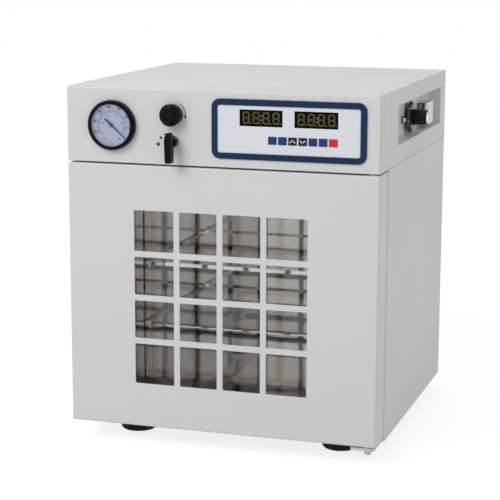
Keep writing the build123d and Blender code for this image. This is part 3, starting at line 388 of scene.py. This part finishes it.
def moulding(name, colour, rubbed_colour, smooth, dull, grain_depth=0.00001, grain_scale=1500.0,
             **sockets):
    """A moulded plastic or rubber."""
    inputs = [("Colour", (*colour, 1)), ("Rubbed Colour", (*rubbed_colour, 1)), ("Smooth", smooth),
              ("Dull", dull), ("Grain Depth", grain_depth), ("Grain Scale", grain_scale)]
    return finish_material(name, skin_group, inputs, **sockets)


gloss_black = moulding("gloss_black", (0.003, 0.003, 0.0035), (0.008, 0.008, 0.008), 0.10, 0.2,
                       0.000002, Specular_IOR_Level=0.09)
matt_black = moulding("matt_black", (0.006, 0.006, 0.007), (0.03, 0.03, 0.03), 0.42, 0.55,
                      0.00002, Specular_IOR_Level=0.25)
foot_rubber = moulding("foot_rubber", (0.008, 0.008, 0.008), (0.03, 0.03, 0.03), 0.6, 0.8,
                       0.00004, 900.0, Specular_IOR_Level=0.25)
gasket_silicone = moulding("gasket_silicone", (0.55, 0.54, 0.50), (0.7, 0.7, 0.66), 0.45, 0.6,
                           0.00001, Subsurface_Weight=0.15)
heater_mat = moulding("heater_mat", (0.36, 0.07, 0.03), (0.5, 0.2, 0.12), 0.5, 0.7, 0.00005, 700.0)
phenolic = moulding("phenolic", (0.035, 0.025, 0.02), (0.1, 0.08, 0.06), 0.35, 0.5)
board_green = moulding("board_green", (0.02, 0.12, 0.05), (0.06, 0.2, 0.1), 0.3, 0.4,
                       0.00003, 400.0)
digit_black = moulding("digit_black", (0.008, 0.008, 0.007), (0.02, 0.02, 0.02), 0.4, 0.5,
                       Specular_IOR_Level=0.1)
magnet_black = moulding("magnet_black", (0.02, 0.02, 0.022), (0.1, 0.1, 0.1), 0.4, 0.6)
dress(foot_rubber, "feet")
dress(gasket_silicone, "chamber_gasket")
dress(heater_mat, "heater_pads")
dress(phenolic, "limit_thermostat")
dress(board_green, "control_board")
dress(digit_black, "digit_modules")
dress(magnet_black, "catch_magnets")
dress(matt_black, "power_inlet", "finger_cup", "switch_body")
dress(gloss_black, "gauge_case", "vent_knob", "vacuum_lever", "power_rocker")

# Mineral wool. Pressed slabs fill the space between chamber and cabinet: pale fibres
# that lie in layers, soft and quite rough.
wool_group, taken, given = new_group(
    "pressed_wool", [("Colour", "NodeSocketColor", (0.75, 0.7, 0.55, 1))],
    finish_outputs)
where = wool_group.nodes.new("ShaderNodeTexCoord").outputs["Object"]
layers = wool_group.nodes.new("ShaderNodeVectorMath")
layers.operation = "MULTIPLY"
layers.inputs[1].default_value = (0.2, 0.2, 1)
wool_group.links.new(where, layers.inputs[0])
fibres = texture(wool_group, "ShaderNodeTexNoise", layers.outputs[0], 420.0, 6.0)
fibre_shade = remap(wool_group, fibres.outputs["Fac"], 0.35, 0.65, 0.0, 0.5)
wool_colour = blend_colours(wool_group, fibre_shade, taken.outputs["Colour"], (0.5, 0.42, 0.26, 1))
wool_dullness = remap(wool_group, fibres.outputs["Fac"], 0.2, 0.8, 0.85, 1.0)
wool_group.links.new(wool_colour, given.inputs["Colour"])
wool_group.links.new(wool_dullness, given.inputs["Roughness"])
wool_group.links.new(bump(wool_group, fibres.outputs["Fac"], 0.001), given.inputs["Normal"])
wool = finish_material("mineral_wool", wool_group, Sheen_Weight=0.3)
dress(wool, "insulation")

# Glass. The door holds one thick clear pane and the gauge a thin one; the switch has a
# clear moulded cover, and smoked filters lie over the digits.


def clear(name, colour, roughness, bending):
    """A clear glass or moulding, with its tint and how strongly it bends light."""
    return finish_material(name, roughness=roughness, colour=colour, Transmission_Weight=1.0,
                           IOR=bending)


door_pane = clear("door_pane", (0.93, 0.96, 0.945), 0.0, 1.5)
gauge_pane = clear("gauge_pane", (0.98, 0.98, 0.99), 0.0, 1.45)
clear_moulding = clear("clear_moulding", (0.93, 0.95, 0.96), 0.06, 1.45)
smoked_filter = clear("smoked_filter", (0.16, 0.16, 0.15), 0.02, 1.15)
dress(door_pane, "door_glass")
dress(gauge_pane, "gauge_glass")
dress(clear_moulding, "switch_cover")
dress(smoked_filter, "display_lenses")

# Vacuum gauge. A black case holds a pale blue enamelled dial. Two scales stand back to
# back: the outer, from 0 to 70, is black, and the inner, from 0 to .1, is dark blue.
dial_enamel = moulding("dial_enamel", (0.50, 0.54, 0.76), (0.56, 0.60, 0.80), 0.35, 0.45, 0.000004)
pointer_paint = moulding("pointer_paint", (0.01, 0.01, 0.012), (0.05, 0.05, 0.05), 0.4, 0.5)
outer_ink = moulding("dial_ink", (0.008, 0.010, 0.02), (0.02, 0.02, 0.03), 0.5, 0.6,
                     Specular_IOR_Level=0.2)
inner_ink = moulding("inner_dial_ink", (0.03, 0.05, 0.16), (0.06, 0.08, 0.2), 0.5, 0.6,
                     Specular_IOR_Level=0.2)
dress(dial_enamel, "gauge_dial")
dress(pointer_paint, "gauge_needle")
print_thickness = 0.06 * mm
gauge_low, gauge_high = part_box("gauge_dial")
gauge_middle = (gauge_low + gauge_high) / 2
dial_front = gauge_low.y
scale_start = math.radians(-42)
scale_sweep = math.radians(267)
outer_radius = 23.4 * mm
outer_line = 0.45 * mm
outer_marks = 39
outer_long, outer_short = (3.4 * mm, 0.95 * mm), (2.0 * mm, 0.55 * mm)
outer_end = 76
outer_figures = 8
outer_figure_radius = 30.2 * mm
outer_figure_size, outer_figure_weight = 6.0 * mm, 0.2 * mm
inner_radius = 21.6 * mm
inner_line = 0.35 * mm
inner_marks = 26
inner_long, inner_short = (2.6 * mm, 0.6 * mm), (1.4 * mm, 0.4 * mm)
inner_end = 25.3
inner_figures = ("0", ".02", ".04", ".06", ".08", ".1")
inner_figure_radius = 16.2 * mm
inner_figure_size, inner_figure_weight = 3.5 * mm, 0.07 * mm
rivet_spread = 13.5 * mm
rivet_drop = 22 * mm
rivet_radius = 1.5 * mm
front = Vector((0, -1, 0))


def upright(x, y, z, turn=0.0):
    """The place of a flat drawing that faces the front, turned about its own middle."""
    standing = Matrix.Translation((x, y, z)) @ Matrix.Rotation(math.pi / 2, 4, "X")
    return standing @ Matrix.Rotation(turn, 4, "Z")


def draw_bar(bm, place, width, height):
    """A flat bar, centred on its place."""
    size = Matrix.Diagonal((width, height, 1, 1))
    bmesh.ops.create_grid(bm, x_segments=1, y_segments=1, size=0.5, matrix=place @ size)


def draw_dot(bm, place, radius):
    """A flat round dot."""
    bmesh.ops.create_circle(bm, cap_ends=True, segments=24, radius=radius, matrix=place)


def draw_arc(bm, place, radius, width, start, sweep, steps):
    """A flat band along an arc, spun from one short edge, and closed where it goes right round."""
    ends = [bm.verts.new(place @ Vector((math.cos(start) * reach, math.sin(start) * reach, 0)))
            for reach in (radius - width / 2, radius + width / 2)]
    edge = bm.edges.new(ends)
    axis = place.to_3x3() @ Vector((0, 0, 1))
    bmesh.ops.spin(bm, geom=[*ends, edge], cent=place.translation, axis=axis, angle=sweep,
                   steps=steps, use_merge=sweep == 2 * math.pi)


def draw_text(bm, place, words, size, boldness):
    """Figures set as an outline, thickened, and made a flat mesh."""
    letter = bpy.data.curves.new("figure", "FONT")
    letter.body = words
    letter.size = size
    letter.offset = boldness
    letter.align_x = "CENTER"
    letter.align_y = "CENTER"
    letter.resolution_u = 2
    holder = bpy.data.objects.new("figure", letter)
    flat = bpy.data.meshes.new_from_object(holder)
    flat.transform(place)
    bm.from_mesh(flat)
    bpy.data.objects.remove(holder)
    bpy.data.curves.remove(letter)
    bpy.data.meshes.remove(flat)


def make_piece(name, bm, material, body):
    """A new piece from a finished bmesh, on its body and with its slot named."""
    mesh = bpy.data.meshes.new(name)
    bm.to_mesh(mesh)
    bm.free()
    mesh.shade_flat()
    mesh.materials.append(material)
    piece = bpy.data.objects.new(name, mesh)
    scene.collection.objects.link(piece)
    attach(piece, body)
    return piece


def print_piece(name, bm, facing_way, material, body):
    """Turns flat drawings into a thin printed film that faces one way and rides on a body."""
    bmesh.ops.remove_doubles(bm, verts=bm.verts, dist=0.000001)
    turned = [face for face in bm.faces if face.normal.dot(Vector(facing_way)) < 0]
    bmesh.ops.reverse_faces(bm, faces=turned)
    film = bmesh.ops.extrude_face_region(bm, geom=bm.faces[:])
    raised = [part for part in film["geom"] if isinstance(part, bmesh.types.BMVert)]
    bmesh.ops.translate(bm, verts=raised, vec=Vector(facing_way) * print_thickness)
    bmesh.ops.recalc_face_normals(bm, faces=bm.faces)
    return make_piece(name, bm, material, body)


def on_dial(reach, turn, lean=0.0):
    """The place of a mark on the dial, at a distance and an angle from its middle."""
    return upright(gauge_middle.x + math.cos(turn) * reach, dial_front,
                   gauge_middle.z + math.sin(turn) * reach, lean)


round_dial = upright(gauge_middle.x, dial_front, gauge_middle.z)
bm = bmesh.new()
for count in range(outer_marks):
    turn = scale_start + scale_sweep * count / (outer_marks - 1)
    length, width = outer_long if count % 5 == 0 else outer_short
    draw_bar(bm, on_dial(outer_radius + length / 2, turn, turn), length, width)
for count in range(outer_figures):
    turn = scale_start + scale_sweep * count * 10 / outer_end
    draw_text(bm, on_dial(outer_figure_radius, turn), str(count * 10), outer_figure_size,
              outer_figure_weight)
draw_arc(bm, round_dial, outer_radius, outer_line, scale_start, scale_sweep, 72)
for side in (-1, 1):
    rivet = upright(gauge_middle.x + side * rivet_spread, dial_front, gauge_middle.z - rivet_drop)
    draw_dot(bm, rivet, rivet_radius)
print_piece("gauge_outer_scale", bm, front, outer_ink, "cabinet")

bm = bmesh.new()
for count in range(inner_marks):
    turn = scale_start + scale_sweep * count / inner_end
    length, width = inner_long if count % 5 == 0 else inner_short
    draw_bar(bm, on_dial(inner_radius - length / 2, turn, turn), length, width)
for count, words in enumerate(inner_figures):
    turn = scale_start + scale_sweep * count * 5 / inner_end
    draw_text(bm, on_dial(inner_figure_radius, turn), words, inner_figure_size,
              inner_figure_weight)
draw_arc(bm, round_dial, inner_radius, inner_line, scale_start,
         scale_sweep * (inner_marks - 1) / inner_end, 60)
print_piece("gauge_inner_scale", bm, front, inner_ink, "cabinet")

# Marks on the fascia. An arrow round the vent knob shows the way it turns, and three
# dots of growing size stand beside the lever's nose. They are screen printed.
mark_ink = moulding("mark_ink", (0.012, 0.012, 0.014), (0.04, 0.04, 0.04), 0.45, 0.55)
fascia_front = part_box("control_fascia")[0].y
vent_low, vent_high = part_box("vent_knob")
vent_x = (vent_low.x + vent_high.x) / 2
vent_z = (vent_low.z + vent_high.z) / 2
lever_low, lever_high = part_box("vacuum_lever")
lever_x = (lever_low.x + lever_high.x) / 2
arrow_radius = 21.3 * mm
arrow_width = 1.4 * mm
arrow_start = math.radians(58)
arrow_end = math.radians(-4)
head_width = 4.6 * mm
head_length = 5.2 * mm
lever_dots = ((-14.4, 529.9, 1.7), (-22.0, 524.2, 2.2), (-26.6, 513.4, 3.0))
bm = bmesh.new()
round_vent = upright(vent_x, fascia_front, vent_z)
draw_arc(bm, round_vent, arrow_radius, arrow_width, arrow_start, arrow_end - arrow_start, 20)
arrow_tip = round_vent @ Matrix.Rotation(arrow_end, 4, "Z")
arrow_tip = arrow_tip @ Matrix.Translation((arrow_radius, 0, 0))
head_corners = [(head_width / 2, 0, 0), (-head_width / 2, 0, 0), (0, -head_length, 0)]
bm.faces.new([bm.verts.new(arrow_tip @ Vector(corner)) for corner in head_corners])
for offset, height, radius in lever_dots:
    draw_dot(bm, upright(lever_x + offset * mm, fascia_front, height * mm), radius * mm)
print_piece("fascia_marks", bm, front, mark_ink, "cabinet")

# Vacuum lever. One gloss moulding: a round hub on the valve's stem and a slim grip with a
# rounded nose, a belly over the hub and a long straight tail.
nose_radius = 2.4 * mm
nose_reach = 16.7 * mm
shoulder_drop = 12.5 * mm
belly = 6.3 * mm
belly_taper = 0.4 * mm
belly_drop = 8 * mm
tail = 5.2 * mm
tail_corner = 1.2 * mm
grip_edge = 1.6 * mm
hub_radius = 9.5 * mm
hub_depth = 12.5 * mm
hub_lap = 0.5 * mm
stem_radius = 3.0 * mm
grip_back = -275.0 * mm
pivot_z = lever_high.z - nose_reach
half_outline = []
for step in (0, 18, 36, 54, 72):
    bend = math.radians(step)
    half_outline.append((nose_radius * math.sin(bend),
                         lever_high.z - nose_radius * (1 - math.cos(bend))))
for step in (20, 40, 60, 80):
    bend = math.radians(step)
    half_outline.append((nose_radius + (belly - nose_radius) * math.sin(bend),
                         lever_high.z - nose_radius - shoulder_drop * (1 - math.cos(bend))))
half_outline.append((belly, pivot_z))
half_outline.append((belly - belly_taper, pivot_z - belly_drop))
half_outline.append((tail, lever_low.z + tail_corner))
half_outline.append((tail - tail_corner, lever_low.z))
bm = bmesh.new()
right_side = [bm.verts.new((lever_x + x, grip_back, z)) for x, z in half_outline]
left_side = [bm.verts.new((lever_x - x, grip_back, z)) for x, z in reversed(half_outline[1:])]
profile = bm.faces.new(right_side + left_side)
grown = bmesh.ops.extrude_face_region(bm, geom=[profile])
raised = [part for part in grown["geom"] if isinstance(part, bmesh.types.BMVert)]
bmesh.ops.translate(bm, verts=raised, vec=(0, lever_low.y - grip_back, 0))
rim = [edge for edge in bm.edges
       if all(abs(vert.co.y - lever_low.y) < 0.1 * mm for vert in edge.verts)]
bmesh.ops.bevel(bm, geom=rim, offset=grip_edge, segments=4, profile=0.5, material=-1,
                affect="EDGES")
hub_turn = Matrix.Rotation(math.pi / 2, 4, "X")
hub_middle = Matrix.Translation((lever_x, grip_back + hub_depth / 2 - hub_lap, pivot_z))
bmesh.ops.create_cone(bm, cap_ends=True, segments=48, radius1=hub_radius, radius2=hub_radius,
                      depth=hub_depth, matrix=hub_middle @ hub_turn)
stem_middle = Matrix.Translation((lever_x, (lever_high.y + grip_back) / 2, pivot_z))
bmesh.ops.create_cone(bm, cap_ends=True, segments=24, radius1=stem_radius, radius2=stem_radius,
                      depth=lever_high.y - grip_back, matrix=stem_middle @ hub_turn)
bmesh.ops.recalc_face_normals(bm, faces=bm.faces)
lever = make_piece("lever_moulding", bm, gloss_black, "vacuum_lever")
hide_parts("vacuum_lever")

# Display. A navy frame with soft edges holds a pale printed face. Behind smoked filters
# stand four-figure modules. Their segments are drawn as thin outlines that glow: a painted
# highlight for the light caught on the segments' edges.
frame_navy = moulding("frame_navy", (0.010, 0.026, 0.078), (0.02, 0.04, 0.10), 0.35, 0.45,
                      0.000008, Specular_IOR_Level=0.15)
face_print = moulding("face_print", (0.76, 0.775, 0.83), (0.8, 0.81, 0.85), 0.3, 0.4, 0.000006)
# Painted highlight: the segment outlines emit light of their own, in place of light caught on their
# edges.
segment_glow = finish_material("segment_glow", roughness=0.5, colour=(0.35, 0.36, 0.12),
                               Emission_Color=(0.66, 0.64, 0.26, 1), Emission_Strength=4.0)
dress(frame_navy, "display_frame")
dress(face_print, "display_face")
module_low, module_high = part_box("digit_modules")
module_width = 67.0 * mm
module_places = [module_low.x + module_width / 2, module_high.x - module_width / 2]
digit_z = (module_low.z + module_high.z) / 2
digit_width = 9.2 * mm
half_height = 8.5 * mm
digit_pitch = 16.6 * mm
digit_shift = 0.8 * mm
segment_length = 0.93
segment_width = 2.415 * mm
outline_width = 0.26 * mm
point_size = 1.2 * mm
point_gap = 2.9 * mm
colon_size = 1.7 * mm
colon_rise = 3.2 * mm
lying = [(0, step * half_height, digit_width, 0) for step in (-1, 0, 1)]
standing = [(side * digit_width / 2, step * half_height / 2, half_height, math.pi / 2)
            for side in (-1, 1) for step in (-1, 1)]
bm = bmesh.new()
for middle in module_places:
    for count in range(4):
        x = middle + (count - 1.5) * digit_pitch - digit_shift
        for across, up, length, turn in lying + standing:
            place = upright(x + across, module_low.y, digit_z + up, turn)
            segment = bmesh.ops.create_circle(bm, cap_ends=True, segments=6, radius=0.5)
            squeeze = Matrix.Diagonal((length * segment_length, segment_width, 1, 1))
            bmesh.ops.transform(bm, matrix=place @ squeeze, verts=segment["verts"])
        point_x = x + digit_width / 2 + point_gap
        draw_bar(bm, upright(point_x, module_low.y, digit_z - half_height), point_size, point_size)
    for up in (-colon_rise, colon_rise):
        draw_bar(bm, upright(middle, module_low.y, digit_z + up), colon_size, colon_size)
filled = [face for face in bm.faces if len(face.verts) == 6]
bmesh.ops.inset_individual(bm, faces=filled, thickness=outline_width)
cores = [face for face in bm.faces if len(face.verts) == 6]
bmesh.ops.delete(bm, geom=cores, context="FACES")
print_piece("digit_segments", bm, front, segment_glow, "cabinet")

# Keys. Seven softly rounded caps, printed blue, black and red. The two black ones carry
# an arrowhead up and down.
key_blue = moulding("key_blue", (0.012, 0.035, 0.17), (0.05, 0.09, 0.26), 0.3, 0.4, 0.000006,
                    Specular_IOR_Level=0.25)
key_black = moulding("key_black", (0.008, 0.008, 0.012), (0.03, 0.03, 0.04), 0.3, 0.4, 0.000006,
                     Specular_IOR_Level=0.25)
key_red = moulding("key_red", (0.66, 0.022, 0.03), (0.7, 0.1, 0.09), 0.3, 0.4, 0.000006,
                   Specular_IOR_Level=0.25)
symbol_white = moulding("symbol_white", (0.8, 0.8, 0.82), (0.8, 0.8, 0.82), 0.4, 0.5)
dress(key_blue, "key_1", "key_2", "key_5", "key_6")
dress(key_black, "key_3", "key_4")
dress(key_red, "key_7")
arm_lean = math.radians(42)
arm_offset = 2.1 * mm
arm_length = 6.6 * mm
arm_width = 1.5 * mm
for key_name, way in (("key_3", 1), ("key_4", -1)):
    key_low, key_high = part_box(key_name)
    key_x = (key_low.x + key_high.x) / 2
    key_z = (key_low.z + key_high.z) / 2
    bm = bmesh.new()
    for side in (-1, 1):
        place = upright(key_x + side * arm_offset, key_low.y, key_z, -side * way * arm_lean)
        draw_bar(bm, place, arm_length, arm_width)
    print_piece(key_name + "_arrow", bm, front, symbol_white, key_name)

# Limiter dial. Its black skirt carries white marks on the sloping edge, and the fluted
# grip ends in a bright cap.
dial_black = moulding("dial_black", (0.006, 0.006, 0.008), (0.03, 0.03, 0.035), 0.22, 0.34,
                      0.000006, Specular_IOR_Level=0.25)
dress(dial_black, "limit_dial")
dial_low, dial_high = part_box("limit_dial")
dial_y = (dial_low.y + dial_high.y) / 2
dial_z = (dial_low.z + dial_high.z) / 2
recess_wall = 237.0 * mm
skirt_front = recess_wall + 11.0 * mm
skirt_flat = 24.0 * mm
skirt_slope = -5.0 / 4.0
mark_lift = 0.02 * mm
mark_end = 27.6 * mm
mark_count = 31
cap_radius = 9.5 * mm
sideways = Matrix.Rotation(math.pi / 2, 4, "Y")
right = Vector((1, 0, 0))
bm = bmesh.new()
for count in range(mark_count):
    turn = math.radians(-150 + 300 * count / (mark_count - 1))
    long_mark = count % 5 == 0
    mark_start = (24.6 if long_mark else 26.0) * mm
    half_width = (0.45 if long_mark else 0.22) * mm
    corners = []
    for radius, side in ((mark_start, -1), (mark_start, 1), (mark_end, 1), (mark_end, -1)):
        x = skirt_front + skirt_slope * (radius - skirt_flat) + mark_lift
        y = dial_y + math.sin(turn) * radius + math.cos(turn) * side * half_width
        z = dial_z + math.cos(turn) * radius - math.sin(turn) * side * half_width
        corners.append(bm.verts.new((x, y, z)))
    bm.faces.new(corners)
print_piece("limit_marks", bm, right, symbol_white, "limit_dial")
bm = bmesh.new()
draw_dot(bm, Matrix.Translation((dial_high.x, dial_y, dial_z)) @ sideways, cap_radius)
print_piece("limit_cap", bm, right, nickel_plate, "limit_dial")

# Power switch and reset button. The rocker sits in a black bezel under a clear moulded
# cover, with the plain signs for on and off; the reset button is bright metal.
dress(nickel_plate, "reset_button")
rocker_low, rocker_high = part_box("power_rocker")
pivot_depth = 2.0 * mm
rocker_tilt = math.radians(-10)
sign_reach = 13.0 * mm
face_depth = 3.0 * mm
face_slope = math.atan(4.5 / 30)
sign_lift = face_depth + sign_reach * math.tan(face_slope)
bar_length, bar_width = 7.0 * mm, 1.2 * mm
ring_radius, ring_width = 3.2 * mm, 1.1 * mm
pivot = Vector((recess_wall - pivot_depth, (rocker_low.y + rocker_high.y) / 2,
                (rocker_low.z + rocker_high.z) / 2))
rocker_turn = Matrix.Translation(pivot) @ Matrix.Rotation(rocker_tilt, 4, "Z")
bm = bmesh.new()
for side in (-1, 1):
    place = rocker_turn @ Matrix.Translation((sign_lift, side * sign_reach, 0))
    place = place @ Matrix.Rotation(-side * face_slope, 4, "Z") @ sideways
    if side < 0:
        draw_bar(bm, place, bar_length, bar_width)
    else:
        draw_arc(bm, place, ring_radius, ring_width, 0, 2 * math.pi, 32)
print_piece("rocker_marks", bm, right, symbol_white, "power_rocker")

# Shelves and rails. Two polished plates with their front and back edges folded down lie on
# angle rails that are welded along the chamber's side walls.
wall_reach = 153.0 * mm
chamber_x = -8.0 * mm
shelf_lip = 6.0 * mm
shelf_sheet = 1.5 * mm
rail_reach = 14.0 * mm
rail_leg = 12.0 * mm
rail_inset = 8 * mm


def add_block(bm, x, y, z):
    """A plain block from its two places along each axis, in either order."""
    spans = [sorted(span) for span in (x, y, z)]
    middle = [(low + high) / 2 for low, high in spans]
    size = [high - low for low, high in spans]
    place = Matrix.Translation(middle) @ Matrix.Diagonal((*size, 1))
    bmesh.ops.create_cube(bm, size=1, matrix=place)


rails = bmesh.new()
for name in ("lower_shelf", "upper_shelf"):
    shelf_low, shelf_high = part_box(name)
    shelf_x = (shelf_low.x, shelf_high.x)
    under = shelf_high.z - shelf_sheet
    bm = bmesh.new()
    add_block(bm, shelf_x, (shelf_low.y, shelf_high.y), (under, shelf_high.z))
    for edge, inwards in ((shelf_low.y, shelf_sheet), (shelf_high.y, -shelf_sheet)):
        add_block(bm, shelf_x, (edge, edge + inwards), (shelf_high.z - shelf_lip, under))
    plate = make_piece(name + "_sheet", bm, polished_steel, "cabinet")
    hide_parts(name)
    rail_y = (shelf_low.y + rail_inset, shelf_high.y - rail_inset)
    for side in (-1, 1):
        wall = side * wall_reach + chamber_x
        add_block(rails, (wall, wall - side * rail_reach), rail_y, (under - shelf_sheet, under))
        add_block(rails, (wall, wall - side * shelf_sheet), rail_y,
                  (under - rail_leg, under - shelf_sheet))
rail_piece = make_piece("shelf_rails", rails, brushed_steel, "cabinet")
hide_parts("shelf_racks")
